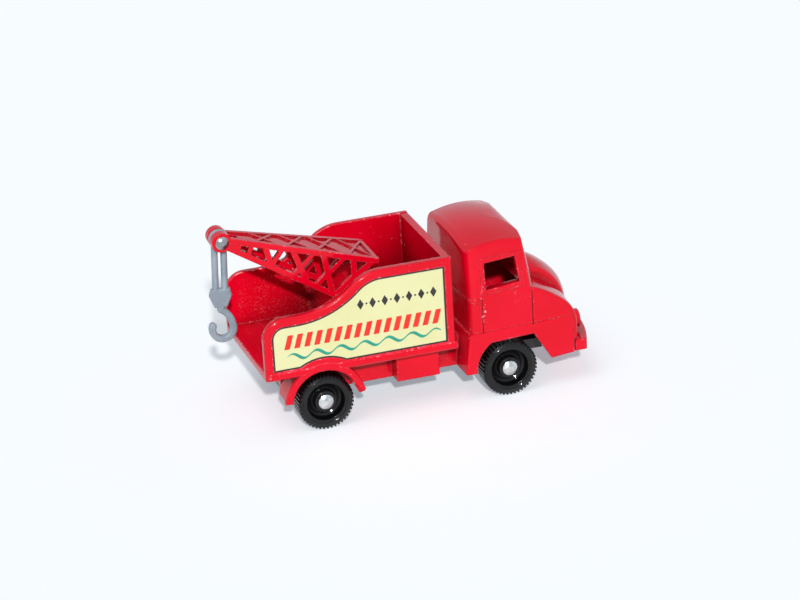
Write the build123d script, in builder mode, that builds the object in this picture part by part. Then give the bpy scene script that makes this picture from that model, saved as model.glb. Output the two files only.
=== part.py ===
from build123d import *
import os
from math import acos, asin, atan2, cos, degrees, radians, sin

# Die-cast toy tow truck, in millimetres: +X forward, +Y to its left, +Z up.
# The origin is on the ground, below the middle of the overall length and width.

os.makedirs("parts", exist_ok=True)

# Driving dimensions
wheelbase = 33.0
rear_axle_x = -16.65
front_axle_x = rear_axle_x + wheelbase
body_half_width = 12.4
wheel_radius = 4.87
wheel_width = 3.33
wheel_inner_y = body_half_width - wheel_width
axle_radius = 0.75
running_gap = 0.05

# Wheels, turned about their axle
tread_teeth = 44
tread_depth = 0.3
tread_slot = 0.34
sidewall_radius = 3.95
sidewall_lip_radius = 3.35
sidewall_step = 0.15
dish_depth = 1.45
dish_radius = 3.1
hub_radius = 2.1
hub_top_radius = 1.8
hub_length = 3.0
axle_head_radius = 1.3
axle_head_height = 0.55
axle_half_length = wheel_inner_y + hub_length + 0.1
head_rim = 0.12

# Tub: the open rear body with its two tall sides
tub_rear_x = -26.74
tub_front_x = 6.82
tub_wall = 1.3
tub_bottom_z = 10.4
tub_floor_z = 11.6
tub_low_z = 21.2
tub_high_z = 27.0
tub_rear_corner = 3.6
sweep_start_x = -20.9
sweep_low_radius = 15.1
sweep_high_radius = 7.5
sweep_angle = degrees(acos(1 - (tub_high_z - tub_low_z) / (sweep_low_radius + sweep_high_radius)))
panel_border = 1.4
label_recess = 0.2
label_film = 0.08
label_bottom_z = 11.9
arch_border_radius = 8.1
sill_bead_radius = 0.68
sill_bead_z = 10.96
deck_rear_x = -11.6
deck_front_x = -1.6
deck_z = 19.4
deck_side_wall = 1.2

# Mudguards over the rear wheels
guard_outer = 6.7
guard_rim_outer = 7.1
guard_inner = 5.75
guard_inboard_y = 7.05
guard_rim_y = body_half_width + 0.3
guard_rim_width = 1.3
guard_rim_radius = 0.45
guard_tail_angle = 20.0
guard_inner_tail_angle = 35.0
guard_rear_angle = 174.0
guard_tail_length = 1.25
guard_tip = 0.95

# Chassis rails and tool boxes, cast in one with the cab
rail_outer_y = 7.0
rail_wall = 1.0
rail_bottom_z = 4.9
rail_rear_x = -22.9
tool_box_rear_x = -3.1
tool_box_front_x = 4.5
tool_box_outer_y = 9.8
tool_box_bottom_z = 5.0

# Cab
cab_rear_x = 9.8
cab_wall = 1.1
cab_edge_radius = 1.3
belt_z = 18.0
belt_half_width = 11.9
sill_half_width = 12.0
eave_half_width = 10.5
roof_edge_y = 9.4
roof_edge_drop = 1.0
eave_drop = 1.0
roof_rear_z = 28.0
roof_crown_z = 28.8
roof_front_z = 26.7
windscreen_base_z = 19.0
windscreen_base_x = 22.7
windscreen_bow = 0.85
windscreen_corner = 2.4
windscreen_lean = 0.2
windscreen_width = 17.6
windscreen_height = 4.6
windscreen_z = 22.8
frame_width = 0.75
frame_height = 0.16
door_rear_x = 12.0
door_front_x = 21.0
seam_width = 0.18
seam_depth = 0.14

# Skirt below the cab, with the wheel openings
skirt_rear_x = 8.5
skirt_lean = 0.9
skirt_top_z = 12.1
skirt_bottom_z = 4.95
skirt_front_x = 28.2
skirt_edge_radius = 0.4

# Nose: wings either side of the bonnet
nose_half_width = 11.95
bonnet_half_width = 4.9
nose_floor_z = 5.8
nose_edge_radius = 0.6
headlamp_y = 7.8
headlamp_z = 10.0
headlamp_radius = 1.6
grille_slots = 5
grille_slot_height = 0.45
grille_half_width = 4.2
grille_middle_z = 10.9
grille_pitch = 0.95
grille_back_x = 29.75
bumper_bottom_z = 5.9
bumper_height = 1.95

# Crane jib
head_x = -30.0
head_z = 32.4
head_radius = 1.7
cheek_inner_y = 0.75
cheek_outer_y = 2.15
jib_front_x = -3.6
jib_front_z = 25.95
jib_top_z = 33.4
jib_foot_z = 19.8
jib_half_width = 5.0
jib_foot_x = -11.5
jib_plate = 0.9
chord_width = 1.0
rung_width = 0.75
lattice_bays = 5
falling_bars = [(0.27, 0.43), (0.44, 0.76), (0.64, 0.98), (0.83, 1.2)]
head_web_share = 0.13
web_recess = 0.3
web_rib_width = 0.5
foot_length = 4.0
foot_half_width = 4.6
foot_thickness = 1.0
jib_peg_x = -8.6
head_pin_radius = 0.6
head_pin_cap_radius = 1.15
head_pin_cap_height = 0.6
head_pin_play = 0.13

# Hook
hook_thickness = 1.2
hook_edge_cut = 0.2
rope_radius = 0.57
rope_offset = 0.8
loop_radius = 1.75
block_z = 22.2
block_top_z = 23.5
hook_bowl_z = 16.2
hook_bowl_radius = 1.86
hang_angle = 2.4
hook_stroke = 1.15

# Base plate, under the chassis
base_bottom_z = 4.85
base_sheet = 0.8
base_half_width = 5.9
base_flange_z = 6.7
base_rear_x = -22.1
base_front_x = 27.4
axle_tube_radius = 1.5
axle_tube_half_length = 8.75
post_radius = 1.1
post_gap = 0.05
post_head_radius = 1.5
post_head_height = 0.45
post_well_radius = 1.65
post_well_depth = 0.5
post_well_wall = 0.45
post_head_z = base_bottom_z + post_well_depth
tub_post_xs = (-19.9, 2.0)
cab_post_x = 25.0
cab_post_top_z = 16.0


def finish(part, name):
    part.label = name
    export_step(part, f"parts/{name}.step")


# Wheels and axles

def tread_edges():
    # Square ribs all round the tyre, for use inside BuildLine
    pitch = 360 / tread_teeth
    slot = degrees(tread_slot / wheel_radius)
    root_radius = wheel_radius - tread_depth
    points = []
    for tooth in range(tread_teeth):
        middle = tooth * pitch - 90
        for radius, angle in (
            (wheel_radius, middle - (pitch - slot) / 2), (wheel_radius, middle + (pitch - slot) / 2),
            (root_radius, middle + (pitch - slot) / 2), (root_radius, middle + (pitch + slot) / 2),
        ):
            points.append((radius * cos(radians(angle)), radius * sin(radians(angle))))
    Polyline(*points, close=True)


def wheel(axle_x, side):
    centre = Vector(axle_x, side * wheel_inner_y, wheel_radius)
    face = Plane(origin=centre, x_dir=(-side, 0, 0), z_dir=(0, side, 0))
    section = Plane(origin=centre, x_dir=(1, 0, 0), z_dir=(0, 0, side))
    with BuildPart() as rolled:
        with BuildSketch(face):
            with BuildLine():
                tread_edges()
            make_face()
        extrude(amount=wheel_width)
        with BuildSketch(section):
            with BuildLine():
                Polyline(
                    (0, hub_length), (hub_top_radius, hub_length), (hub_radius, wheel_width - dish_depth),
                    (dish_radius, wheel_width - dish_depth),
                    (sidewall_lip_radius, wheel_width - sidewall_step),
                    (sidewall_radius - sidewall_step, wheel_width - sidewall_step),
                    (sidewall_radius, wheel_width), (sidewall_radius, wheel_width + 1),
                    (0, wheel_width + 1), close=True,
                )
            make_face()
        revolve(axis=Axis(centre, (0, 1, 0)), mode=Mode.SUBTRACT)
        with BuildSketch(face):
            Circle(axle_radius + running_gap)
        extrude(amount=wheel_width, mode=Mode.SUBTRACT)
    return rolled.part


def headed_pin(centre, radius, half_length, head_radius, head_height):
    # A round pin along Y with a domed head on each end
    rim_y = half_length + head_rim
    top_y = half_length + head_height
    dome = head_height - head_rim
    dome_radius = (head_radius**2 + dome**2) / (2 * dome)
    dome_angle = degrees(asin(head_radius / dome_radius))
    with BuildPart() as pin:
        with BuildSketch(Plane(origin=centre, x_dir=(1, 0, 0), z_dir=(0, 0, 1))):
            with BuildLine():
                CenterArc((0, top_y - dome_radius), dome_radius, 90 - dome_angle, dome_angle)
                Polyline(
                    (head_radius, rim_y), (head_radius, half_length), (radius, half_length),
                    (radius, -half_length), (head_radius, -half_length), (head_radius, -rim_y),
                )
                CenterArc((0, dome_radius - top_y), dome_radius, -90, dome_angle)
                Line((0, -top_y), (0, top_y))
            make_face()
        revolve(axis=Axis(centre, (0, 1, 0)))
    return pin.part


# Tub

def panel_edges(inset, bottom_z):
    # The top and ends of a side panel, moved in by inset, for use inside BuildLine
    rear_x = tub_rear_x + inset
    front_x = tub_front_x - inset
    corner = Vector(tub_rear_x + tub_rear_corner, tub_low_z - tub_rear_corner)
    low_centre = Vector(sweep_start_x, tub_low_z + sweep_low_radius)
    reach = sweep_low_radius + sweep_high_radius
    turn = radians(sweep_angle)
    high_centre = low_centre + Vector(reach * sin(turn), -reach * cos(turn))
    Line((rear_x, bottom_z), (rear_x, corner.Y))
    CenterArc(corner, tub_rear_corner - inset, 90, 90)
    Line((corner.X, tub_low_z - inset), (sweep_start_x, tub_low_z - inset))
    CenterArc(low_centre, sweep_low_radius + inset, -90, sweep_angle)
    CenterArc(high_centre, sweep_high_radius - inset, 90, sweep_angle)
    Line((high_centre.X, tub_high_z - inset), (front_x, tub_high_z - inset))
    Line((front_x, tub_high_z - inset), (front_x, bottom_z))


def label_outline(inset):
    # The label's field: the panel inside its border, with a hump over the wheel arch
    half_hump = (arch_border_radius**2 - (label_bottom_z - wheel_radius)**2) ** 0.5
    hump_angle = degrees(atan2(label_bottom_z - wheel_radius, half_hump))
    panel_edges(inset, label_bottom_z)
    Line((tub_rear_x + inset, label_bottom_z), (rear_axle_x - half_hump, label_bottom_z))
    CenterArc((rear_axle_x, wheel_radius), arch_border_radius, hump_angle, 180 - 2 * hump_angle)
    Line((rear_axle_x + half_hump, label_bottom_z), (tub_front_x - inset, label_bottom_z))


def sill_bead():
    # The half-round bead along the foot of the tub's side, broken by the wheel's arch
    with BuildPart() as bead:
        with BuildSketch(Plane.YZ.offset(tub_rear_x + 0.6)):
            with Locations((-body_half_width + sill_bead_radius / 2, sill_bead_z)):
                Circle(sill_bead_radius)
        extrude(amount=tub_front_x - tub_rear_x - 0.3)
        with BuildSketch(Plane.XZ.offset(body_half_width - 2)):
            with Locations((rear_axle_x, wheel_radius)):
                Circle(guard_outer)
        extrude(amount=3, mode=Mode.SUBTRACT)
    return bead.part


def mudguard_edges(outer):
    # An arch band about the rear axle with a straight tail towards the front, for use inside BuildLine
    axle_point = Vector(rear_axle_x, wheel_radius)
    tail = radians(guard_tail_angle)
    spoke = Vector(cos(tail), sin(tail))
    along = Vector(sin(tail), -cos(tail))
    outer_start = axle_point + spoke * outer
    outer_end = outer_start + along * guard_tail_length
    inner_end = outer_end - spoke * guard_tip
    rear = radians(guard_rear_angle)
    rear_spoke = Vector(cos(rear), sin(rear))
    CenterArc(axle_point, outer, guard_tail_angle, guard_rear_angle - guard_tail_angle)
    inner_arc = CenterArc(
        axle_point, guard_inner, guard_inner_tail_angle, guard_rear_angle - guard_inner_tail_angle,
    )
    Line(axle_point + rear_spoke * outer, axle_point + rear_spoke * guard_inner)
    Line(outer_start, outer_end)
    ThreePointArc(outer_end, (outer_end + inner_end) * 0.5 + along * 0.35, inner_end)
    Line(inner_end, inner_arc @ 0)


def mudguard():
    # The plain guard behind a thicker rim with a rounded outer edge
    with BuildPart() as guard:
        with BuildSketch(Plane.XZ.offset(guard_rim_y)):
            with BuildLine():
                mudguard_edges(guard_rim_outer)
            make_face()
        extrude(amount=-guard_rim_width)
        outer_face = guard.faces().sort_by(Axis.Y)[0]
        fillet(outer_face.edges(), radius=guard_rim_radius)
        with BuildSketch(Plane.XZ.offset(guard_inboard_y)):
            with BuildLine():
                mudguard_edges(guard_outer)
            make_face()
        extrude(amount=body_half_width - 0.2 - guard_inboard_y)
    return guard.part


def tub_body():
    length = tub_front_x - tub_rear_x
    middle_x = (tub_front_x + tub_rear_x) / 2
    inner_y = body_half_width - tub_wall
    deck_middle_x = (deck_rear_x + deck_front_x) / 2
    deck_length = deck_front_x - deck_rear_x
    with BuildPart() as tub:
        with BuildSketch(Plane.XZ.offset(inner_y)):
            with BuildLine():
                panel_edges(0, tub_bottom_z)
                Line((tub_rear_x, tub_bottom_z), (tub_front_x, tub_bottom_z))
            make_face()
        extrude(amount=tub_wall)
        rim = [
            edge for edge in tub.edges()
            if abs(edge.center().Y + body_half_width) < 0.01 and edge.center().Z > tub_bottom_z + 0.1
        ]
        fillet(rim, radius=0.5)
        with BuildSketch(Plane.XZ.offset(body_half_width - label_recess)):
            with BuildLine():
                label_outline(panel_border)
            make_face()
        extrude(amount=label_recess, mode=Mode.SUBTRACT)
        add(sill_bead())
        with BuildSketch(Plane.XZ.offset(guard_inboard_y)):
            with Locations((rear_axle_x, wheel_radius)):
                Circle(guard_inner)
        extrude(amount=body_half_width - guard_inboard_y + 1, mode=Mode.SUBTRACT)
        add(mudguard())
        mirror(about=Plane.XZ)

        with BuildSketch(Plane.XY.offset(tub_bottom_z)):
            with Locations((middle_x, 0)):
                Rectangle(length, 2 * inner_y + 0.2)
        extrude(amount=tub_floor_z - tub_bottom_z)
        with BuildSketch(Plane.XY.offset(tub_bottom_z)):
            with Locations((tub_front_x - tub_wall / 2, 0)):
                Rectangle(tub_wall, 2 * inner_y + 0.2)
        extrude(amount=tub_high_z - tub_bottom_z - 0.1)

        with BuildSketch(Plane.XY.offset(tub_bottom_z)):
            with Locations((deck_middle_x, 0)):
                Rectangle(deck_length, 2 * inner_y + 0.2)
        extrude(amount=deck_z - tub_bottom_z)
        with BuildSketch(Plane.XY.offset(tub_bottom_z)):
            with Locations((deck_middle_x, 0)):
                Rectangle(deck_length - 2 * deck_side_wall, 2 * inner_y - 2 * deck_side_wall)
        extrude(amount=deck_z - deck_side_wall - tub_bottom_z, mode=Mode.SUBTRACT)
        with BuildSketch(Plane.XY.offset(deck_z)):
            with Locations((jib_peg_x, 0)):
                Circle(post_radius + post_gap)
        extrude(amount=-2 * deck_side_wall, mode=Mode.SUBTRACT)

        with BuildSketch(Plane.XY.offset(tub_bottom_z)):
            with Locations(*[(x, 0) for x in tub_post_xs]):
                Circle(post_radius)
        extrude(amount=post_head_z - tub_bottom_z)
        with BuildSketch(Plane.XY.offset(post_head_z)):
            with Locations(*[(x, 0) for x in tub_post_xs]):
                Circle(post_head_radius)
        extrude(amount=-post_head_height)
    return tub.part


def label(side):
    film_y = body_half_width - label_recess
    with BuildPart() as film:
        with BuildSketch(Plane.XZ.offset(film_y)):
            with BuildLine():
                label_outline(panel_border + 0.05)
            make_face()
        extrude(amount=label_film)
        if side > 0:
            mirror(about=Plane.XZ, mode=Mode.REPLACE)
    return film.part


# Cab, bonnet, wings, bumper and chassis: one casting

def cab_section(x, crown_z, grow):
    # A slice across the cab: upright below the belt, leaning in above it, under a crowned roof
    base_y = sill_half_width + grow
    belt_y = belt_half_width + grow
    eave_y = eave_half_width + grow
    edge_y = roof_edge_y + grow
    shoulder_z = crown_z - roof_edge_drop + grow
    eave_z = shoulder_z - eave_drop
    bend_y = edge_y + 0.71 * (eave_y - edge_y)
    bend_z = eave_z + 0.71 * eave_drop
    with BuildSketch(Plane.YZ.offset(x)) as section:
        with BuildLine():
            Polyline((-eave_y, eave_z), (-belt_y, belt_z), (-base_y, 8.0),
                     (base_y, 8.0), (belt_y, belt_z), (eave_y, eave_z))
            ThreePointArc((eave_y, eave_z), (bend_y, bend_z), (edge_y, shoulder_z))
            ThreePointArc((edge_y, shoulder_z), (0, crown_z + grow), (-edge_y, shoulder_z))
            ThreePointArc((-edge_y, shoulder_z), (-bend_y, bend_z), (-eave_y, eave_z))
        make_face()
    return section.sketch


def windscreen_edges(inset):
    # The bowed windscreen line with its rounded corners, seen from above and closed behind it,
    # for use inside BuildLine
    foot_shift = windscreen_lean * windscreen_base_z
    middle_x = windscreen_base_x + foot_shift - inset
    corner_x = middle_x - windscreen_bow
    pillar_x = corner_x - windscreen_corner
    ThreePointArc((pillar_x, -12.6), (corner_x - 0.3 * windscreen_corner, -11.2), (corner_x, -9.8))
    ThreePointArc((corner_x, -9.8), (middle_x, 0), (corner_x, 9.8))
    ThreePointArc((corner_x, 9.8), (corner_x - 0.3 * windscreen_corner, 11.2), (pillar_x, 12.6))
    Polyline((pillar_x, 12.6), (0, 12.6), (0, -12.6), (pillar_x, -12.6))


def cab_form(grow):
    # The cab lofted front to back with a rounded back edge, then cut off by the windscreen
    # and by the rounded front of the roof
    rear_x = cab_rear_x - grow
    radius = cab_edge_radius + grow
    rounded = []
    for angle in (90, 60, 30, 0):
        inset = radius * (1 - cos(radians(angle)))
        x = rear_x + radius * (1 - sin(radians(angle)))
        rounded.append(cab_section(x, roof_rear_z, grow - inset))
    with BuildPart() as form:
        loft(rounded)
        loft([
            cab_section(rear_x + radius, roof_rear_z, grow),
            cab_section(15.5, roof_crown_z, grow),
            cab_section(24.5, roof_front_z, grow),
        ])
        with BuildSketch():
            with BuildLine():
                windscreen_edges(-grow)
            make_face()
        extrude(amount=34, dir=Vector(-windscreen_lean, 0, 1), mode=Mode.INTERSECT)
        with BuildSketch(Plane.XZ.offset(-13)):
            with BuildLine():
                Line((8.0, 3.0), (8.0, 31.0))
                Line((8.0, 31.0), (17.5, 31.0))
                Line((17.5, 31.0), (17.5 + grow, 28.75 + grow))
                Spline(
                    (17.5 + grow, 28.75 + grow), (20.2 + grow, 27.95 + grow), (21.4 + grow, 26.2 + grow),
                    tangents=[(1, -0.12), (0.3, -1)],
                )
                Line((21.4 + grow, 26.2 + grow), (26.0, 3.0))
                Line((26.0, 3.0), (8.0, 3.0))
            make_face()
        extrude(amount=26, mode=Mode.INTERSECT)
    return form.part


def cab_hollow():
    # The room inside the cab, over the open floor and under the wings
    with BuildPart() as room:
        with BuildSketch(Plane.YZ.offset(cab_rear_x + cab_wall)):
            with BuildLine():
                Polyline(
                    (-10.75, 3.0), (10.75, 3.0), (10.7, 17.9), (9.4, 24.2), (8.2, 25.8),
                    (-8.2, 25.8), (-9.4, 24.2), (-10.7, 17.9), close=True,
                )
            make_face()
        extrude(amount=16)
        with BuildSketch():
            with BuildLine():
                windscreen_edges(cab_wall)
            make_face()
        extrude(amount=34, dir=Vector(-windscreen_lean, 0, 1), mode=Mode.INTERSECT)
        with BuildSketch(Plane.XZ.offset(-10.75)):
            with BuildLine():
                Polyline((12.0, 3.0), (27.7, 3.0), (27.7, 13.0),
                         (24.0, 15.6), (20.0, 17.0), (12.0, 17.0), close=True)
            make_face()
        extrude(amount=21.5)
    return room.part


def nose_section(y, reach, points):
    # A lengthwise slice of the wings or bonnet: a curved top running down to an upright front
    with BuildSketch(Plane.XZ.offset(-y)) as section:
        with BuildLine():
            Line((18.0, nose_floor_z), (reach, nose_floor_z))
            Line((reach, nose_floor_z), (reach, 10.5))
            Spline((reach, 10.5), *points, tangents=[(0, 1), (-1, 0.12)])
            Line(points[-1], (18.0, nose_floor_z))
        make_face()
    return section.sketch


def nose_form(half_width, side_reach, side, centre_reach, centre):
    # Lofted across the truck through a middle slice, with its outer edges rounded
    with BuildPart() as form:
        loft([
            nose_section(-half_width, side_reach, side),
            nose_section(0, centre_reach, centre),
            nose_section(half_width, side_reach, side),
        ])
        rims = [
            edge for edge in form.edges()
            if abs(abs(edge.center().Y) - half_width) < 0.01
            and edge.center().Z > 8 and edge.center().X > 18.5
        ]
        fillet(rims, radius=nose_edge_radius)
    return form.part


def wings_form():
    side = [(27.6, 14.7), (24.4, 17.2), (18.0, 19.3)]
    centre = [(28.2, 14.9), (25.0, 17.3), (18.0, 19.3)]
    return nose_form(nose_half_width, 29.1, side, 29.8, centre)


def bonnet_form():
    side = [(28.5, 15.3), (26.2, 18.2), (18.0, 19.2)]
    centre = [(29.3, 16.2), (26.0, 19.2), (18.0, 21.2)]
    return nose_form(bonnet_half_width, 29.5, side, 30.6, centre)


def wheel_arch_edges():
    # The front wheel opening: curved behind the wheel, straight and slanted ahead of it
    top_z = 10.35
    Line((10.5, 3.0), (10.5, 5.4))
    ThreePointArc((10.5, 5.4), (11.3, 8.2), (13.3, top_z - 0.15))
    Line((13.3, top_z - 0.15), (20.9, top_z + 0.2))
    Line((20.9, top_z + 0.2), (24.1, 5.2))
    Line((24.1, 5.2), (24.1, 3.0))
    Line((24.1, 3.0), (10.5, 3.0))


def side_window_edges(grow):
    # The side window seen from the side, made larger by grow for its raised frame
    Polyline(
        (12.8 - grow, 19.65 - grow), (18.95 + grow, 20.2 - grow),
        (18.45 + grow, 24.75 + grow), (12.9 - grow, 24.3 + grow), close=True,
    )


def bumper_edges(front_x, rear_x):
    # A bowed band seen from above, wrapped round the corners of the wings
    side_y = body_half_width
    end_x = front_x - 2.1
    back_x = 28.4
    ThreePointArc((end_x, -side_y + 0.6), (front_x, 0), (end_x, side_y - 0.6))
    ThreePointArc((end_x, side_y - 0.6), (end_x - 0.25, side_y - 0.15), (end_x - 0.9, side_y))
    Line((end_x - 0.9, side_y), (back_x, side_y))
    Line((back_x, side_y), (back_x, side_y - 1.4))
    ThreePointArc((back_x, side_y - 1.4), (rear_x, 0), (back_x, -side_y + 1.4))
    Line((back_x, -side_y + 1.4), (back_x, -side_y))
    Line((back_x, -side_y), (end_x - 0.9, -side_y))
    ThreePointArc((end_x - 0.9, -side_y), (end_x - 0.25, -side_y + 0.15), (end_x, -side_y + 0.6))


def chassis():
    # Two rails under a top plate, with a tool box on each side, hollow from below
    front_x = skirt_rear_x + 0.7
    length = front_x - rail_rear_x
    middle_x = (front_x + rail_rear_x) / 2
    box_length = tool_box_front_x - tool_box_rear_x
    box_x = (tool_box_rear_x + tool_box_front_x) / 2
    box_y = (rail_outer_y + tool_box_outer_y) / 2
    box_width = tool_box_outer_y - rail_outer_y
    height = tub_bottom_z - rail_bottom_z
    with BuildPart() as frame:
        with BuildSketch(Plane.XY.offset(rail_bottom_z)):
            with Locations((middle_x, 0)):
                Rectangle(length, 2 * rail_outer_y)
        extrude(amount=height)
        with BuildSketch(Plane.XY.offset(tool_box_bottom_z)):
            with Locations((box_x, -box_y), (box_x, box_y)):
                Rectangle(box_length, box_width)
        extrude(amount=tub_bottom_z - tool_box_bottom_z)
        with BuildSketch(Plane.XY.offset(rail_bottom_z)):
            with Locations((middle_x, 0)):
                Rectangle(length - 2 * rail_wall, 2 * (rail_outer_y - rail_wall))
        extrude(amount=height - rail_wall, mode=Mode.SUBTRACT)
        with BuildSketch(Plane.XY.offset(rail_bottom_z)):
            with Locations((box_x, -box_y), (box_x, box_y)):
                Rectangle(box_length - 2 * rail_wall, box_width - rail_wall)
        extrude(amount=height - rail_wall, mode=Mode.SUBTRACT)
        with BuildSketch(Plane.XZ.offset(-rail_outer_y - 1)):
            with Locations((rear_axle_x, wheel_radius)):
                SlotOverall(2 * axle_tube_radius + 4, 2 * axle_tube_radius + 0.1, rotation=90)
        extrude(amount=2 * rail_outer_y + 2, mode=Mode.SUBTRACT)
        with BuildSketch(Plane.XY.offset(tub_bottom_z)):
            with Locations(*[(x, 0) for x in tub_post_xs]):
                Circle(post_radius + post_gap)
        extrude(amount=-2 * rail_wall, mode=Mode.SUBTRACT)
        with BuildSketch():
            with Locations((middle_x, 0)):
                Rectangle(length, 2 * base_half_width + 0.2)
        extrude(amount=base_flange_z + 0.1, mode=Mode.SUBTRACT)
    return frame.part


def cab_trim():
    # Raised lines on the cab: the side window frames, and the belt ridge round the back
    with BuildPart() as trim:
        with BuildSketch(Plane.XZ.offset(-body_half_width)):
            with BuildLine():
                side_window_edges(frame_width)
            make_face()
        extrude(amount=2 * body_half_width)
        with BuildSketch(Plane.XY.offset(belt_z - 0.3)):
            with Locations((cab_rear_x, 0)):
                Rectangle(2 * (door_rear_x - cab_rear_x) - 0.4, 2 * body_half_width)
        extrude(amount=0.6)
        add(cab_form(frame_height), mode=Mode.INTERSECT)
    return trim.part


def door_seams():
    # The grooves round each door, cut into the cab side
    with BuildPart() as seams:
        with BuildSketch(Plane.XZ.offset(belt_half_width - seam_depth)):
            with Locations((door_rear_x, (skirt_top_z + belt_z) / 2 + 0.2)):
                Rectangle(seam_width, belt_z - skirt_top_z + 0.4)
            with Locations((door_front_x, (skirt_top_z + belt_z) / 2 + 0.2)):
                Rectangle(seam_width, belt_z - skirt_top_z + 0.4)
        extrude(amount=1)
        mirror(about=Plane.XZ)
    return seams.part


def skirt():
    with BuildPart() as block:
        with BuildSketch(Plane.XZ.offset(-body_half_width)):
            with BuildLine():
                Polyline(
                    (skirt_rear_x, skirt_bottom_z), (skirt_rear_x + skirt_lean, skirt_top_z),
                    (skirt_front_x, skirt_top_z + 0.4), (skirt_front_x, nose_floor_z),
                    (24.0, 5.4), (10.5, skirt_bottom_z), close=True,
                )
            make_face()
        extrude(amount=2 * body_half_width)
        rims = [
            edge for edge in block.edges()
            if edge.center().Z > skirt_top_z - 0.2
            or (edge.center().X < skirt_rear_x + 1 and abs(edge.center().Y) > 5)
        ]
        fillet(rims, radius=skirt_edge_radius)
    return block.part


def cab_shell():
    with BuildPart() as cab:
        add(cab_form(0))
        add(cab_trim())
        add(wings_form())
        add(bonnet_form())
        add(skirt())
        add(cab_hollow(), mode=Mode.SUBTRACT)
        add(door_seams(), mode=Mode.SUBTRACT)
        with BuildSketch():
            with Locations((skirt_rear_x, 0)):
                Rectangle(6.0, 2 * base_half_width + 0.2)
        extrude(amount=base_flange_z + 0.1, mode=Mode.SUBTRACT)
        with BuildSketch(Plane.XZ.offset(-body_half_width - 1)):
            with BuildLine():
                side_window_edges(0)
            make_face()
        extrude(amount=2 * body_half_width + 2, mode=Mode.SUBTRACT)
        with BuildSketch(Plane.XZ.offset(9.0)):
            with BuildLine():
                wheel_arch_edges()
            make_face()
        arch = extrude(amount=3.8, mode=Mode.SUBTRACT)
        mirror(arch, about=Plane.XZ, mode=Mode.SUBTRACT)
        with BuildSketch(Plane.YZ.offset(18.5)):
            with Locations((0, windscreen_z)):
                RectangleRounded(windscreen_width, windscreen_height, 1.0)
        extrude(amount=10, mode=Mode.SUBTRACT)
        with BuildSketch(Plane.YZ.offset(grille_back_x)):
            with Locations((0, grille_middle_z)):
                with GridLocations(0, grille_pitch, 1, grille_slots):
                    SlotOverall(2 * grille_half_width, grille_slot_height)
        extrude(amount=2.0, mode=Mode.SUBTRACT)
        with BuildSketch(Plane.XY.offset(bumper_bottom_z)):
            with BuildLine():
                bumper_edges(32.8, 29.0)
            make_face()
        extrude(amount=bumper_height)
        with BuildSketch(Plane.YZ.offset(28.6)):
            with Locations((-headlamp_y, headlamp_z), (headlamp_y, headlamp_z)):
                Circle(headlamp_radius)
        extrude(amount=2.0)
        with BuildSketch(Plane.XY.offset(post_head_z)):
            with Locations((cab_post_x, 0)):
                Circle(post_radius)
        extrude(amount=cab_post_top_z - post_head_z)
        with BuildSketch(Plane.XY.offset(post_head_z)):
            with Locations((cab_post_x, 0)):
                Circle(post_head_radius)
        extrude(amount=-post_head_height)
    return cab.part


def cab_and_chassis():
    with BuildPart() as casting:
        add(cab_shell())
        add(chassis())
    return casting.part


# Base plate

def base_plate():
    length = base_front_x - base_rear_x
    middle_x = (base_front_x + base_rear_x) / 2
    posts = [(x, 0) for x in (*tub_post_xs, cab_post_x)]
    axles = [(x, wheel_radius) for x in (rear_axle_x, front_axle_x)]
    with BuildPart() as base:
        with BuildSketch(Plane.XY.offset(base_bottom_z)):
            with Locations((middle_x, 0)):
                RectangleRounded(length, 2 * base_half_width, 1.0)
        extrude(amount=base_flange_z - base_bottom_z)
        with BuildSketch(Plane.XY.offset(base_bottom_z + base_sheet)):
            with Locations((middle_x, 0)):
                Rectangle(length - 2 * base_sheet, 2 * (base_half_width - base_sheet))
        extrude(amount=base_flange_z, mode=Mode.SUBTRACT)
        with BuildSketch(Plane.XY.offset(base_bottom_z)):
            with Locations(*posts):
                Circle(post_well_radius + post_well_wall)
        extrude(amount=post_well_depth + base_sheet)
        with BuildSketch(Plane.XZ.offset(-axle_tube_half_length)):
            with Locations(*axles):
                Circle(axle_tube_radius)
        extrude(amount=2 * axle_tube_half_length)
        with BuildSketch(Plane.XZ.offset(-axle_tube_half_length)):
            with Locations(*axles):
                Circle(axle_radius + running_gap)
        extrude(amount=2 * axle_tube_half_length, mode=Mode.SUBTRACT)
        with BuildSketch(Plane.XY.offset(base_bottom_z)):
            with Locations(*posts):
                Circle(post_well_radius)
        extrude(amount=post_well_depth, mode=Mode.SUBTRACT)
        with BuildSketch(Plane.XY.offset(post_head_z)):
            with Locations(*posts):
                Circle(post_radius + post_gap)
        extrude(amount=base_sheet, mode=Mode.SUBTRACT)
    return base.part


# Crane jib and hook

def bar(start, end, width):
    # One straight bar of a lattice, for use inside BuildSketch
    run = Vector(*end) - Vector(*start)
    middle = (Vector(*end) + Vector(*start)) * 0.5
    with Locations((middle.X, middle.Y)):
        Rectangle(run.length + width, width, rotation=degrees(atan2(run.Y, run.X)))


def between(start, end, share):
    return (start[0] + (end[0] - start[0]) * share, start[1] + (end[1] - start[1]) * share)


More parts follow.
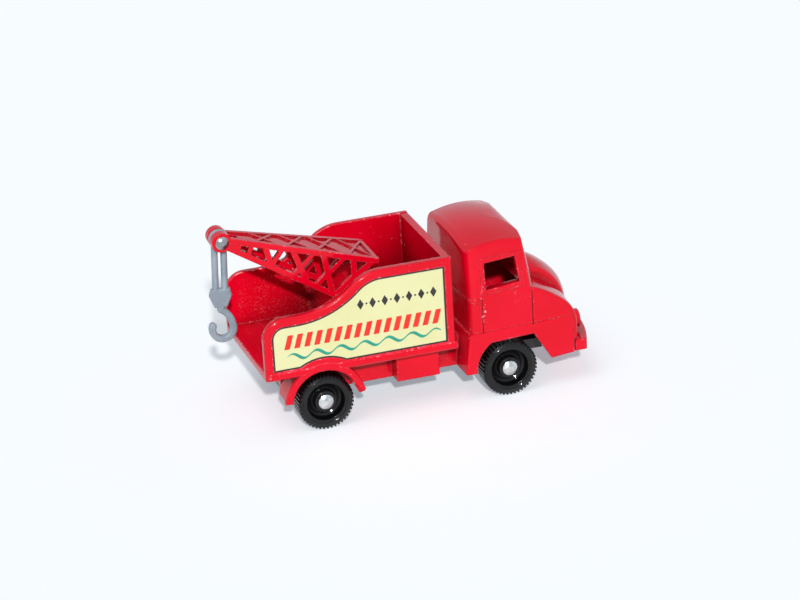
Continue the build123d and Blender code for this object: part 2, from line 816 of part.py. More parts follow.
def jib_side():
    # One side plate: two chords spreading from the head, with crossed bars between them
    splay = atan2(jib_half_width - cheek_outer_y, jib_front_x - head_x)
    plane = Plane(
        origin=(head_x, -cheek_outer_y, 0),
        x_dir=(cos(splay), -sin(splay), 0),
        z_dir=(-sin(splay), -cos(splay), 0),
    )
    top_start = (0, jib_top_z)
    top_end = ((jib_front_x - head_x) / cos(splay), jib_front_z)
    low_start = (0.4, head_z - 1.25)
    low_end = ((jib_foot_x - head_x) / cos(splay), jib_foot_z)
    with BuildPart() as side:
        with BuildSketch(plane):
            with BuildLine():
                Polyline(top_start, top_end, low_end, low_start, close=True)
            make_face()
            offset(amount=-chord_width, mode=Mode.SUBTRACT)
            for bay in range(1, lattice_bays):
                share = bay / lattice_bays
                bar(between(low_start, low_end, share), between(top_start, top_end, share), rung_width)
            for top_share, low_share in falling_bars:
                bar_top = between(top_start, top_end, top_share)
                bar(bar_top, between(low_start, low_end, low_share), chord_width)
            with BuildLine():
                Polyline(
                    top_start, between(top_start, top_end, head_web_share),
                    between(low_start, low_end, head_web_share), low_start, close=True,
                )
            make_face()
            with BuildLine():
                Polyline(top_start, top_end, low_end, low_start, close=True)
            make_face(mode=Mode.INTERSECT)
        extrude(amount=-jib_plate)
    return side.part


def jib_top():
    # The top web: raised edges and crossed ribs over a recessed plate
    slope = atan2(jib_top_z - jib_front_z, jib_front_x - head_x)
    length = (jib_front_x - head_x) / cos(slope)
    plane = Plane(
        origin=(head_x, 0, jib_top_z),
        x_dir=(cos(slope), 0, -sin(slope)),
        z_dir=(sin(slope), 0, cos(slope)),
    )
    near = ((0, -cheek_outer_y), (length, -jib_half_width))
    far = ((0, cheek_outer_y), (length, jib_half_width))
    with BuildPart() as web:
        with BuildSketch(plane):
            with BuildLine():
                Polyline(near[0], near[1], far[1], far[0], close=True)
            make_face()
            offset(amount=-chord_width * 0.8, mode=Mode.SUBTRACT)
            for bay in range(1, lattice_bays):
                start = bay / lattice_bays
                end = (bay + 1) / lattice_bays
                bar(between(*near, start), between(*far, end), web_rib_width)
                bar(between(*far, start), between(*near, end), web_rib_width)
            with BuildLine():
                Polyline(near[0], near[1], far[1], far[0], close=True)
            make_face(mode=Mode.INTERSECT)
        extrude(amount=-web_recess)
        with BuildSketch(plane.offset(-web_recess)):
            with BuildLine():
                Polyline(near[0], near[1], far[1], far[0], close=True)
            make_face()
        extrude(amount=web_recess - jib_plate)
    return web.part


def crane_jib():
    side = jib_side()
    top = jib_top()
    cheek_thickness = cheek_outer_y - cheek_inner_y
    with BuildPart() as jib:
        add(side)
        add(mirror(side, about=Plane.XZ, mode=Mode.PRIVATE))
        add(top)
        with BuildSketch(Plane.XZ.offset(-cheek_outer_y)):
            with Locations((head_x, head_z)):
                Circle(head_radius)
        extrude(amount=2 * cheek_outer_y)
        with BuildSketch(Plane.XZ.offset(-cheek_inner_y)):
            with Locations((head_x, head_z)):
                Circle(head_radius + 1.0)
            with Locations((head_x + 1.2, head_z - 2.0)):
                Rectangle(4.0, 5.0)
        extrude(amount=2 * cheek_inner_y, mode=Mode.SUBTRACT)
        with BuildSketch(Plane.XZ.offset(-cheek_outer_y - 1)):
            with Locations((head_x, head_z)):
                Circle(head_pin_radius)
        extrude(amount=2 * cheek_outer_y + 2, mode=Mode.SUBTRACT)
        with BuildSketch(Plane.XY.offset(deck_z)):
            with Locations((jib_foot_x + foot_length / 2, 0)):
                Rectangle(foot_length, 2 * foot_half_width)
        extrude(amount=foot_thickness)
        with BuildSketch(Plane.XY.offset(deck_z)):
            with Locations((jib_peg_x, 0)):
                Circle(post_radius)
        extrude(amount=-deck_side_wall)
        with BuildSketch(Plane.XY.offset(deck_z - deck_side_wall)):
            with Locations((jib_peg_x, 0)):
                Circle(post_head_radius)
        extrude(amount=-post_head_height)
    return jib.part


def crane_hook():
    # One moulding: a loop of rope round the head pin, two falls, the block and the hook
    bowl_x = head_x + 0.25
    ring_radius = loop_radius - rope_radius
    with BuildPart() as hook:
        with BuildSketch(Plane.XZ.offset(-hook_thickness / 2)):
            with BuildLine():
                Polyline(
                    (head_x - 1.6, block_top_z), (head_x + 1.6, block_top_z), (head_x + 1.95, block_z),
                    (head_x + 1.1, block_z - 2.0), (head_x - 1.1, block_z - 2.0), (head_x - 1.95, block_z),
                    close=True,
                )
            make_face()
            with BuildLine():
                shank = Line((head_x, block_z - 1.9), (head_x, block_z - 2.5))
                swell = ThreePointArc(
                    shank @ 1, (bowl_x + 1.3, hook_bowl_z + 1.9), (bowl_x + hook_bowl_radius, hook_bowl_z),
                )
                bowl = CenterArc((bowl_x, hook_bowl_z), hook_bowl_radius, 0, -200)
            trace(line_width=hook_stroke)
            with Locations(bowl @ 1):
                Circle(hook_stroke / 2)
        extrude(amount=hook_thickness)
        chamfer(hook.faces().filter_by(Axis.Y).edges(), length=hook_edge_cut)
        with BuildSketch(Plane.XY.offset(block_top_z - 0.3)):
            with Locations((head_x - rope_offset, 0), (head_x + rope_offset, 0)):
                Circle(rope_radius)
        extrude(amount=head_z - block_top_z + 0.3)
        with BuildSketch(Plane.XZ.offset(-hook_thickness / 2)):
            with Locations((head_x, head_z)):
                Circle(ring_radius)
        extrude(amount=hook_thickness)
        with Locations(Location((head_x, 0, head_z), (90, 0, 0))):
            Torus(ring_radius, rope_radius)
        with BuildSketch(Plane.XZ.offset(-hook_thickness)):
            with Locations((head_x, head_z)):
                Circle(head_pin_radius + running_gap)
        extrude(amount=2 * hook_thickness, mode=Mode.SUBTRACT)
    return hook.part.rotate(Axis((head_x, 0, head_z), (0, 1, 0)), hang_angle)


for axle_name, axle_x in (("rear", rear_axle_x), ("front", front_axle_x)):
    axle_centre = Vector(axle_x, 0, wheel_radius)
    shaft = headed_pin(axle_centre, axle_radius, axle_half_length, axle_head_radius, axle_head_height)
    finish(shaft, f"{axle_name}_axle")
    for side_name, side in (("left", 1), ("right", -1)):
        finish(wheel(axle_x, side), f"{axle_name}_{side_name}_wheel")
finish(tub_body(), "tub")
for side_name, side in (("left", 1), ("right", -1)):
    finish(label(side), f"{side_name}_label")
finish(cab_and_chassis(), "cab_and_chassis")
finish(base_plate(), "base_plate")
finish(crane_jib(), "crane_jib")
head_pin_centre = Vector(head_x, 0, head_z)
finish(
    headed_pin(
        head_pin_centre, head_pin_radius, cheek_outer_y + head_pin_play,
        head_pin_cap_radius, head_pin_cap_height,
    ),
    "head_pin",
)
finish(crane_hook(), "crane_hook")
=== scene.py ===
import math

import bmesh
import bpy
from mathutils import Matrix, Vector


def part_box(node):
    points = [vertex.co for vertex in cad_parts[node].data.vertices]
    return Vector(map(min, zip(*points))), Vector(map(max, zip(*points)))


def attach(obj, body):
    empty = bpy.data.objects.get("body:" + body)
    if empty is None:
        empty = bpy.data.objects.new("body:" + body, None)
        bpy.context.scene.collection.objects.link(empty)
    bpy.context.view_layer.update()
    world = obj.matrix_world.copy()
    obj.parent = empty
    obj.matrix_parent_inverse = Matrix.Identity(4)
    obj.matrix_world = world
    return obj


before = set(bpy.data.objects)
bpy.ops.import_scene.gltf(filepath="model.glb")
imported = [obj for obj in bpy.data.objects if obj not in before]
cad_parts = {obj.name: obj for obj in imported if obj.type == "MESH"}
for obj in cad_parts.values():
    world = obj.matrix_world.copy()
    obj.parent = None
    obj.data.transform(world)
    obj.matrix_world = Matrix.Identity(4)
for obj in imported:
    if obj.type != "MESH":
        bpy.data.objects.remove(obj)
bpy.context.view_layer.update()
mm = 0.001
print("frame loaded")


# Shader steps: each adds its nodes to a tree and gives back the socket to carry on from

def newMaterial(name):
    material = bpy.data.materials.new(name)
    material.use_nodes = True
    tree = material.node_tree
    return material, tree, tree.nodes["Principled BSDF"]


def feed(tree, socket, value):
    # a socket takes another node's output, a colour or a number
    if isinstance(value, bpy.types.NodeSocket):
        tree.links.new(value, socket)
    elif isinstance(value, tuple):
        socket.default_value = (*value, 1)
    else:
        socket.default_value = value


def addNode(tree, kind, inputs, **settings):
    node = tree.nodes.new(kind)
    for name, value in settings.items():
        setattr(node, name, value)
    for name, value in inputs.items():
        feed(tree, node.inputs[name], value)
    return node


def objectCoords(tree):
    return addNode(tree, "ShaderNodeTexCoord", {}).outputs["Object"]


def noiseTexture(tree, vector, scale, detail=2.0, roughness=0.5):
    inputs = {"Vector": vector, "Scale": scale, "Detail": detail, "Roughness": roughness}
    return addNode(tree, "ShaderNodeTexNoise", inputs).outputs["Fac"]


def ramp(tree, value, low, high, lowOut=0.0, highOut=1.0):
    inputs = {"Value": value, "From Min": low, "From Max": high, "To Min": lowOut, "To Max": highOut}
    return addNode(tree, "ShaderNodeMapRange", inputs, interpolation_type="SMOOTHSTEP").outputs["Result"]


def calc(tree, operation, *values):
    return addNode(tree, "ShaderNodeMath", dict(enumerate(values)), operation=operation).outputs[0]


def multiply(tree, value, *others):
    for other in others:
        value = calc(tree, "MULTIPLY", value, other)
    return value


def mixColour(tree, factor, a, b):
    return addNode(tree, "ShaderNodeMix", {0: factor, 6: a, 7: b}, data_type="RGBA").outputs[2]


def bump(tree, height, strength, distance, normal=None):
    inputs = {"Strength": strength, "Distance": distance, "Height": height}
    if normal is not None:
        inputs["Normal"] = normal
    return addNode(tree, "ShaderNodeBump", inputs).outputs["Normal"]


def roundedEdges(tree, radius):
    # the soft edge that paint or a mould leaves
    return addNode(tree, "ShaderNodeBevel", {"Radius": radius}, samples=6).outputs["Normal"]


def edgeMask(tree, rounded, sharp, flat):
    # 1 on a rounded edge, 0 on the flat
    geometry = addNode(tree, "ShaderNodeNewGeometry", {})
    inputs = {0: rounded, 1: geometry.outputs["Normal"]}
    turn = addNode(tree, "ShaderNodeVectorMath", inputs, operation="DOT_PRODUCT")
    return ramp(tree, turn.outputs["Value"], sharp, flat, 1, 0)


def openness(tree, distance):
    # 1 on an open face, towards 0 deep in the piece's own hollows
    inputs = {"Distance": distance}
    return addNode(tree, "ShaderNodeAmbientOcclusion", inputs, only_local=True, samples=8).outputs["AO"]


def insideBox(tree, vector, low, high, fade):
    # 1 inside a box given in millimetres, fading outside it
    parts = addNode(tree, "ShaderNodeSeparateXYZ", {0: vector}).outputs
    sides = []
    for part, start, end in zip(parts, low, high):
        sides.append(ramp(tree, part, (start - fade) * mm, start * mm))
        sides.append(ramp(tree, part, end * mm, (end + fade) * mm, 1, 0))
    return multiply(tree, *sides)


def setColour(tree, shader, value, low, high, first, second):
    colour = mixColour(tree, ramp(tree, value, low, high), first, second)
    feed(tree, shader.inputs["Base Color"], colour)


def setRoughness(tree, shader, value, low, high, first, second):
    feed(tree, shader.inputs["Roughness"], ramp(tree, value, low, high, first, second))


# Red enamel on the castings

enamelLook = {
    "colour": (0.76, 0.001, 0.019),
    "deep": (0.70, 0.0005, 0.014),
    "hollow": (0.17, 0.0002, 0.002),
    "paintedShadowTone": (0.012, 0.0003, 0.0005),
    "edge": (0.87, 0.13, 0.18),
    "glint": (0.93, 0.72, 0.76),
    "fleck": (0.80, 0.42, 0.50),
    "rough": (0.08, 0.18),
    "edgeRough": 0.16,
    "markRough": 0.3,
    "gloss": 0.22,
    "grit": 0.26,
    "edgeSpan": (0.88, 0.988),
    "fade": {"chips": 0.15, "paintedShadowFade": 0.3, "grain": 0.6},  # mm
    "noise": {  # scale, detail, roughness
        "broad": (95, 3), "peel": (520, 2), "fine": (4200, 2), "dust": (170, 4, 0.6),
        "worn": (700, 4, 0.7), "rub": (1300, 3, 0.6), "specks": (2100, 2, 0.6),
    },
    "relief": {  # strength, depth
        "broad": (0.22, 0.08 * mm), "peel": (0.4, 0.05 * mm),
        "chips": (0.5, 0.16 * mm), "fine": (0.07, 0.02 * mm),
    },
}
# wear sets how strongly the edges show worn paint, chips and the painted highlights on them
castings = {
    "tub": {
        "paint": "tubEnamel", "edgeRadius": 0.42 * mm, "hollowDepth": 12 * mm, "wear": 0.8,
        "grainBoxes": [((-24.5, -11.2, 10), (-1.4, 11.2, 19.7))],
    },
    "cab_and_chassis": {
        "paint": "cabEnamel", "edgeRadius": 0.5 * mm, "hollowDepth": 8 * mm, "wear": 0.3,
        "grainBoxes": [((9.0, -11.2, 9), (10.4, 11.2, 19.2)), ((10.9, -10.8, 3), (24, 10.8, 18))],
        "chipBoxes": [((11.85, -13.0, 14.0), (12.6, -11.7, 18.4))],
        "paintedShadowBoxes": [((11.2, -9.6, 18.6), (19.4, 9.6, 25.2))],
    },
    "crane_jib": {"paint": "jibEnamel", "edgeRadius": 0.2 * mm, "hollowDepth": 3 * mm, "wear": 0.6},
}


def enamelMaterial(casting):
    look = enamelLook
    wear = casting["wear"]
    material, tree, shader = newMaterial(casting["paint"])
    vector = objectCoords(tree)
    noise = {key: noiseTexture(tree, vector, *numbers) for key, numbers in look["noise"].items()}
    rounded = roundedEdges(tree, casting["edgeRadius"])
    shade = ramp(tree, openness(tree, casting["hollowDepth"]), 0.25, 0.8, 1, 0)
    edge = edgeMask(tree, rounded, *look["edgeSpan"])
    edge = multiply(tree, edge, calc(tree, "SUBTRACT", 1, shade))  # inner corners get neither wear nor painted highlight

    colour = mixColour(tree, ramp(tree, noise["broad"], 0.35, 0.65), look["deep"], look["colour"])
    # painted shade: the piece's own hollows and inner corners are darkened towards the shade tone
    colour = mixColour(tree, shade, colour, look["hollow"])
    # worn thin paint along the edges, with a painted highlight on them
    wornEdgeAndSheen = multiply(tree, edge, ramp(tree, noise["worn"], 0.40, 0.62, 0.1 * wear, 0.9 * wear))
    colour = mixColour(tree, wornEdgeAndSheen, colour, look["edge"])
    # chipped paint along the edges, with painted glints in the same spots
    chipsAndGlints = multiply(tree, edge, ramp(tree, noise["rub"], 0.57, 0.66, 0, wear))
    colour = mixColour(tree, chipsAndGlints, colour, look["glint"])

    # pale flecks: a few strays anywhere, crowded in the chip boxes, a thin gritty coat in the grain boxes
    marks = multiply(tree, ramp(tree, noise["specks"], 0.71, 0.75), ramp(tree, noise["dust"], 0.5, 0.62))
    for low, high in casting.get("chipBoxes", ()):
        place = insideBox(tree, vector, low, high, look["fade"]["chips"])
        chips = multiply(tree, place, ramp(tree, noise["specks"], 0.60, 0.64))
        marks = calc(tree, "MAXIMUM", marks, chips)
    for low, high in casting.get("grainBoxes", ()):
        place = insideBox(tree, vector, low, high, look["fade"]["grain"])
        patchy = ramp(tree, noise["dust"], 0.42, 0.72, 0.12, 0.7)
        grit = multiply(tree, place, ramp(tree, noise["fine"], 0.5, 0.74), patchy, look["grit"])
        marks = calc(tree, "MAXIMUM", marks, grit)
    colour = mixColour(tree, marks, colour, look["fleck"])

    # painted shadow: the upper inside of the cab is painted near black where shade falls
    for low, high in casting.get("paintedShadowBoxes", ()):
        place = insideBox(tree, vector, low, high, look["fade"]["paintedShadowFade"])
        colour = mixColour(tree, place, colour, look["paintedShadowTone"])
    feed(tree, shader.inputs["Base Color"], colour)

    rough = ramp(tree, noise["dust"], 0.35, 0.75, *look["rough"])
    rough = calc(tree, "ADD", rough, multiply(tree, edge, look["edgeRough"]))
    rough = calc(tree, "ADD", rough, multiply(tree, marks, look["markRough"]))
    feed(tree, shader.inputs["Roughness"], rough)
    feed(tree, shader.inputs["Specular IOR Level"], look["gloss"])

    heights = {**noise, "chips": multiply(tree, edge, noise["worn"])}
    normal = rounded
    for key, (strength, depth) in look["relief"].items():
        normal = bump(tree, heights[key], strength, depth, normal)
    feed(tree, shader.inputs["Normal"], normal)
    return material


# Black wheels and base

wheelLook = {
    "colour": (0.004, 0.004, 0.0045),
    "scuffed": (0.012, 0.012, 0.013),
    "rough": (0.09, 0.22),
    "gloss": 0.32,
    "edgeRadius": 0.42 * mm,
    "hub": (1.3, 3.5),  # mm from the axle, where the sidewall rises from the hub
    "shoulder": (3.9, 5.0),  # and where it falls to the tread
    "shoulderHeight": 0.15,
    "swell": 0.9 * mm,
}


def axleDistance(tree, vector):
    # millimetres from the nearer axle's centre line
    boxes = [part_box(f"{end}_axle") for end in ("rear", "front")]
    rear, front = [(low[0] + high[0]) / 2 for low, high in boxes]
    height = (boxes[0][0][2] + boxes[0][1][2]) / 2
    parts = addNode(tree, "ShaderNodeSeparateXYZ", {0: vector}).outputs
    along = calc(tree, "ABSOLUTE", calc(tree, "SUBTRACT", parts["X"], (rear + front) / 2))
    along = calc(tree, "SUBTRACT", along, (front - rear) / 2)
    up = calc(tree, "SUBTRACT", parts["Z"], height)
    square = calc(tree, "ADD", multiply(tree, along, along), multiply(tree, up, up))
    return calc(tree, "DIVIDE", calc(tree, "SQRT", square), mm)


def wheelMaterial():
    look = wheelLook
    material, tree, shader = newMaterial("blackWheel")
    vector = objectCoords(tree)
    scuff = noiseTexture(tree, vector, 240, 4, 0.65)
    grain = noiseTexture(tree, vector, 2600)
    setColour(tree, shader, scuff, 0.5, 0.8, look["colour"], look["scuffed"])
    setRoughness(tree, shader, scuff, 0.45, 0.75, *look["rough"])
    feed(tree, shader.inputs["Specular IOR Level"], look["gloss"])
    # the moulding swells across the sidewall and dips towards the hub
    distance = axleDistance(tree, vector)
    fall = ramp(tree, distance, *look["shoulder"], 1, look["shoulderHeight"])
    swell = multiply(tree, fall, ramp(tree, distance, *look["hub"]))
    normal = bump(tree, swell, 1.0, look["swell"], roundedEdges(tree, look["edgeRadius"]))
    feed(tree, shader.inputs["Normal"], bump(tree, grain, 0.06, 0.02 * mm, normal))
    return material


baseLook = {
    "colour": (0.009, 0.009, 0.010),
    "scuffed": (0.035, 0.034, 0.034),
    "rough": (0.28, 0.46),
    "edgeRadius": 0.15 * mm,
}


def baseMaterial():
    look = baseLook
    material, tree, shader = newMaterial("blackBase")
    vector = objectCoords(tree)
    grain = noiseTexture(tree, vector, 1500, 3)
    scuff = noiseTexture(tree, vector, 300, 4, 0.65)
    setColour(tree, shader, scuff, 0.5, 0.8, look["colour"], look["scuffed"])
    setRoughness(tree, shader, grain, 0.3, 0.7, *look["rough"])
    normal = bump(tree, grain, 0.15, 0.03 * mm, roundedEdges(tree, look["edgeRadius"]))
    feed(tree, shader.inputs["Normal"], normal)
    return material


# Grey moulded hook, plated axles and pin

hookLook = {
    "colour": (0.245, 0.30, 0.355),
    "pale": (0.32, 0.38, 0.435),
    "rough": (0.27, 0.39),
    "translucence": 0.1,
    "lightReach": 0.6 * mm,
    "edgeRadius": 0.16 * mm,
}


def hookMaterial():
    look = hookLook
    material, tree, shader = newMaterial("greyMoulding")
    vector = objectCoords(tree)
    cloud = noiseTexture(tree, vector, 380, 3)
    grain = noiseTexture(tree, vector, 2600)
    setColour(tree, shader, cloud, 0.35, 0.7, look["colour"], look["pale"])
    setRoughness(tree, shader, cloud, 0.3, 0.7, *look["rough"])
    shader.inputs["Subsurface Weight"].default_value = look["translucence"]
    shader.inputs["Subsurface Radius"].default_value = [look["lightReach"]] * 3
    normal = bump(tree, grain, 0.12, 0.02 * mm, roundedEdges(tree, look["edgeRadius"]))
    feed(tree, shader.inputs["Normal"], normal)
    return material


steelLook = {
    "axleSteel": {"dull": (0.50, 0.51, 0.51), "bright": (0.74, 0.75, 0.75), "rough": (0.2, 0.36)},
    "pinSteel": {"dull": (0.24, 0.25, 0.25), "bright": (0.46, 0.47, 0.47), "rough": (0.2, 0.36)},
}


def steelMaterial(name):
    look = steelLook[name]
    material, tree, shader = newMaterial(name)
    vector = objectCoords(tree)
    wear = noiseTexture(tree, vector, 900, 4, 0.6)
    dents = noiseTexture(tree, vector, 700)
    setColour(tree, shader, wear, 0.35, 0.7, look["dull"], look["bright"])
    setRoughness(tree, shader, wear, 0.3, 0.7, *look["rough"])
    feed(tree, shader.inputs["Metallic"], 1.0)
    feed(tree, shader.inputs["Normal"], bump(tree, dents, 0.45, 0.12 * mm))
    return material


# Label film and printing inks

labelLook = {"film": (0.76, 0.76, 0.42), "aged": (0.72, 0.71, 0.36), "rough": (0.32, 0.40)}


def filmMaterial():
    look = labelLook
    material, tree, shader = newMaterial("labelFilm")
    vector = objectCoords(tree)
    age = noiseTexture(tree, vector, 120, 4)
    grain = noiseTexture(tree, vector, 1800)
    setColour(tree, shader, age, 0.3, 0.75, look["film"], look["aged"])
    setRoughness(tree, shader, grain, 0.3, 0.7, *look["rough"])
    feed(tree, shader.inputs["Normal"], bump(tree, age, 0.2, 0.05 * mm))
    return material


inkLook = {
    "inkBlack": {"full": (0.012, 0.011, 0.010), "thin": (0.03, 0.028, 0.024), "rough": (0.3, 0.4)},
    "inkRed": {"full": (0.80, 0.018, 0.006), "thin": (0.84, 0.03, 0.012), "rough": (0.3, 0.4)},
    "inkGreen": {"full": (0.008, 0.30, 0.20), "thin": (0.012, 0.36, 0.25), "rough": (0.3, 0.4)},
}


def inkMaterial(name):
    # printed ink, a little uneven
    look = inkLook[name]
    material, tree, shader = newMaterial(name)
    patch = noiseTexture(tree, objectCoords(tree), 900, 3)
    setColour(tree, shader, patch, 0.3, 0.7, look["full"], look["thin"])
    setRoughness(tree, shader, patch, 0.3, 0.7, *look["rough"])
    return material


# Each piece gets its finish

wheelBlack = wheelMaterial()
axleSteel = steelMaterial("axleSteel")
labelFilm = filmMaterial()
finishes = {
    "base_plate": baseMaterial(),
    "crane_hook": hookMaterial(),
    "head_pin": steelMaterial("pinSteel"),
}
for name, casting in castings.items():
    finishes[name] = enamelMaterial(casting)
for end in ("front", "rear"):
    finishes[f"{end}_axle"] = axleSteel
    for side in ("left", "right"):
        finishes[f"{end}_{side}_wheel"] = wheelBlack
for side in ("left", "right"):
    finishes[f"{side}_label"] = labelFilm
for name, material in finishes.items():
    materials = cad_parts[name].data.materials
    materials.clear()
    materials.append(material)
print("finishes set")


# Printed side panels: a key line round the film, and bars, lozenges and a coach line on it

inks = {name: inkMaterial(name) for name in inkLook}
inkHeight = 0.02 * mm


def addPiece(bm, name, material):
    bmesh.ops.remove_doubles(bm, verts=bm.verts, dist=1e-7)
    bmesh.ops.recalc_face_normals(bm, faces=bm.faces)
    mesh = bpy.data.meshes.new(name)
    bm.to_mesh(mesh)
    bm.free()
    piece = bpy.data.objects.new(name, mesh)
    bpy.context.scene.collection.objects.link(piece)
    piece.data.materials.append(material)
    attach(piece, "truck")


def raiseInk(bm, side):
    # gives flat ink its thickness, outwards from the film
    grown = bmesh.ops.extrude_face_region(bm, geom=list(bm.faces))
    verts = [v for v in grown["geom"] if isinstance(v, bmesh.types.BMVert)]
    bmesh.ops.translate(bm, verts=verts, vec=(0, side * inkHeight, 0))


keyLineLook = {"width": 0.26 * mm}


def keyLine(sideName, side):
    bm = bmesh.new()
    bm.from_mesh(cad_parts[f"{sideName}_label"].data)
    bmesh.ops.remove_doubles(bm, verts=bm.verts, dist=1e-6)
    bm.normal_update()
    hidden = [f for f in bm.faces if f.normal.y * side < 0.9]
    bmesh.ops.delete(bm, geom=hidden, context="FACES")
    bmesh.ops.dissolve_limit(bm, angle_limit=0.02, verts=bm.verts, edges=bm.edges)
    inner = list(bm.faces)
    bmesh.ops.inset_region(
        bm, faces=inner, thickness=keyLineLook["width"], use_even_offset=True, use_boundary=True,
    )
    bmesh.ops.delete(bm, geom=inner, context="FACES")
    raiseInk(bm, side)
    addPiece(bm, f"{sideName}_key_line", inks["inkBlack"])


def inkShape(bm, points, face, corner):
    # a flat shape on the film from its points in millimetres, with its corners rounded
    verts = [bm.verts.new((x * mm, face, z * mm)) for x, z in points]
    bm.faces.new(verts)
    bmesh.ops.bevel(
        bm, geom=verts, offset=corner * mm, offset_type="OFFSET", affect="VERTICES",
        segments=3, profile=0.5, material=-1,
    )


barLook = {
    "start": -23.3, "end": 4.7, "low": 15.6, "high": 18.1,
    "pitch": 1.74, "width": 0.98, "lean": 0.75, "corner": 0.12,
}


def printedBars(sideName, side, face):
    look = barLook
    count = int((look["end"] - look["start"] - look["width"] - look["lean"]) / look["pitch"]) + 1
    bm = bmesh.new()
    for bar in range(count):
        foot = look["start"] + bar * look["pitch"]
        top = foot + look["lean"]
        inkShape(bm, (
            (foot, look["low"]), (foot + look["width"], look["low"]),
            (top + look["width"], look["high"]), (top, look["high"]),
        ), face, look["corner"])
    raiseInk(bm, side)
    addPiece(bm, f"{sideName}_bars", inks["inkRed"])


lozengeLook = {
    "start": -9.6, "count": 7, "pitch": 2.15, "middle": 21.4,
    "half": 0.58, "tall": 0.95, "corner": 0.08, "dot": 0.17,
}


def printedLozenges(sideName, side, face):
    # a row of lozenges with a dot between each two
    look = lozengeLook
    half, tall, z = look["half"], look["tall"], look["middle"]
    bm = bmesh.new()
    for place in range(look["count"]):
        x = look["start"] + place * look["pitch"]
        inkShape(bm, ((x - half, z), (x, z - tall), (x + half, z), (x, z + tall)), face, look["corner"])
        if place < look["count"] - 1:
            between = Vector(((x + look["pitch"] / 2) * mm, face, z * mm))
            bmesh.ops.create_circle(
                bm, cap_ends=True, segments=12, radius=look["dot"] * mm,
                matrix=Matrix.Translation(between) @ Matrix.Rotation(math.pi / 2, 4, "X"),
            )
    raiseInk(bm, side)
    addPiece(bm, f"{sideName}_lozenges", inks["inkBlack"])


coachLook = {
    "start": -23.0, "end": 4.4, "middle": 14.15, "swing": 0.52, "waves": 6.5,
    "thick": 0.34, "thin": 0.13, "taper": 12, "steps": 150,
}


def printedCoachLine(sideName, side, face):
    # one flowing line, thick on its falling strokes, thin on its rising ones and tapered at both ends
    look = coachLook
    bm = bmesh.new()
    bmesh.ops.create_grid(bm, x_segments=look["steps"], y_segments=1, size=1)
    for vert in bm.verts:
        along = (vert.co.x + 1) / 2
        turn = along * look["waves"] * 2 * math.pi
        stroke = (0.5 - 0.5 * math.cos(turn)) ** 1.5
        width = look["thin"] + (look["thick"] - look["thin"]) * stroke
        width *= min(1.0, look["taper"] * along, look["taper"] * (1 - along)) ** 0.5 + 0.02
        middle = look["middle"] + look["swing"] * math.sin(turn)
        x = look["start"] + along * (look["end"] - look["start"])
        vert.co = Vector((x * mm, face, (middle + vert.co.y * width) * mm))
    raiseInk(bm, side)
    addPiece(bm, f"{sideName}_coach_line", inks["inkGreen"])


for sideName, side in (("left", 1), ("right", -1)):
    low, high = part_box(f"{sideName}_label")
    face = high[1] if side > 0 else low[1]
    keyLine(sideName, side)
    printedBars(sideName, side, face)
    printedLozenges(sideName, side, face)
    printedCoachLine(sideName, side, face)
print("side panels printed")


# Floor, world, lights and camera

floorLook = {
    "half": 2.5,
    "colour": (0.86, 0.85, 0.84),
    "rough": 0.75,
    "gloss": 0.15,
    "glow": (0.75, 0.845, 0.95),
    "lift": 0.37,
}


def seenByEye(tree):
    # 1 where the camera looks, straight, in a reflection or through glass
    path = addNode(tree, "ShaderNodeLightPath", {}).outputs
    seen = calc(tree, "MAXIMUM", path["Is Camera Ray"], path["Is Glossy Ray"])
    return calc(tree, "MAXIMUM", seen, path["Is Transmission Ray"])


def makeFloor():
    look = floorLook
    bm = bmesh.new()
    bmesh.ops.create_grid(bm, x_segments=1, y_segments=1, size=look["half"])
    mesh = bpy.data.meshes.new("floor")
    bm.to_mesh(mesh)
    bm.free()
    floor = bpy.data.objects.new("floor", mesh)
    bpy.context.scene.collection.objects.link(floor)
    material, tree, shader = newMaterial("paleFloor")
    feed(tree, shader.inputs["Base Color"], look["colour"])
    feed(tree, shader.inputs["Roughness"], look["rough"])
    feed(tree, shader.inputs["Specular IOR Level"], look["gloss"])
    feed(tree, shader.inputs["Emission Color"], look["glow"])
    feed(tree, shader.inputs["Emission Strength"], multiply(tree, seenByEye(tree), look["lift"]))
    floor.data.materials.append(material)


worldLook = {"colour": (0.84, 0.92, 1.0), "fill": 0.20, "seen": 0.96}


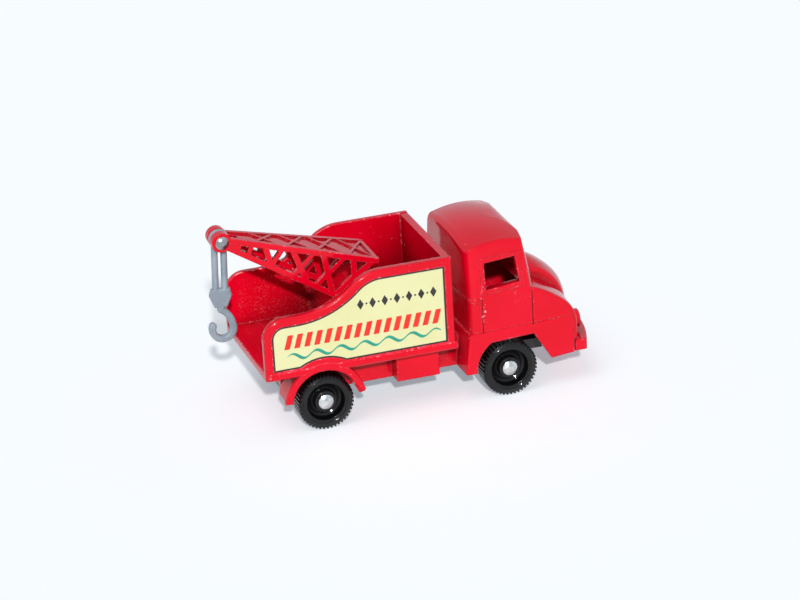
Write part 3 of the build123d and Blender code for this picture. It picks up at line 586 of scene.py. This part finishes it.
def setWorld():
    look = worldLook
    world = bpy.data.worlds.new("studio")
    bpy.context.scene.world = world
    world.use_nodes = True
    tree = world.node_tree
    background = tree.nodes["Background"]
    feed(tree, background.inputs["Color"], look["colour"])
    strength = ramp(tree, seenByEye(tree), 0, 1, look["fill"], look["seen"])
    feed(tree, background.inputs["Strength"], strength)


sunLook = {
    "key": {"azimuth": -13.5, "elevation": 29.5, "spread": 2.2, "strength": 2.65},
    "top": {"azimuth": -55, "elevation": 62, "spread": 40, "strength": 0.62},
}


def orbit(azimuth, elevation):
    # the direction from the object to a lamp or camera
    a, e = math.radians(azimuth), math.radians(elevation)
    return Vector((math.sin(a) * math.cos(e), -math.cos(a) * math.cos(e), math.sin(e)))


def sunLight(name):
    look = sunLook[name]
    data = bpy.data.lights.new(name, "SUN")
    data.angle = math.radians(look["spread"])
    data.energy = look["strength"]
    lamp = bpy.data.objects.new(name, data)
    bpy.context.scene.collection.objects.link(lamp)
    towards = orbit(look["azimuth"], look["elevation"])
    lamp.location = towards
    lamp.rotation_euler = towards.to_track_quat("Z", "Y").to_euler()


cameraLook = {
    "azimuth": -17.176,
    "elevation": 22.557,
    "roll": -3.304,
    "target": (1.164 * mm, 0, 15.613 * mm),
    "distance": 582 * mm,
    "lens": 152.41,
    "sensor": 36,
    "clipStart": 0.01,
}


def makeCamera():
    look = cameraLook
    data = bpy.data.cameras.new("camera")
    data.sensor_width = look["sensor"]
    data.lens = look["lens"]
    data.clip_start = look["clipStart"]
    camera = bpy.data.objects.new("camera", data)
    bpy.context.scene.collection.objects.link(camera)
    back = orbit(look["azimuth"], look["elevation"])
    azimuth = math.radians(look["azimuth"])
    right = Vector((math.cos(azimuth), math.sin(azimuth), 0))
    right.rotate(Matrix.Rotation(math.radians(look["roll"]), 3, back))
    place = Matrix((right, back.cross(right), back)).transposed().to_4x4()
    place.translation = Vector(look["target"]) + back * look["distance"]
    camera.matrix_world = place
    bpy.context.scene.camera = camera


makeFloor()
setWorld()
for name in sunLook:
    sunLight(name)
makeCamera()
bpy.context.scene.view_settings.view_transform = "Standard"
print("stage set")
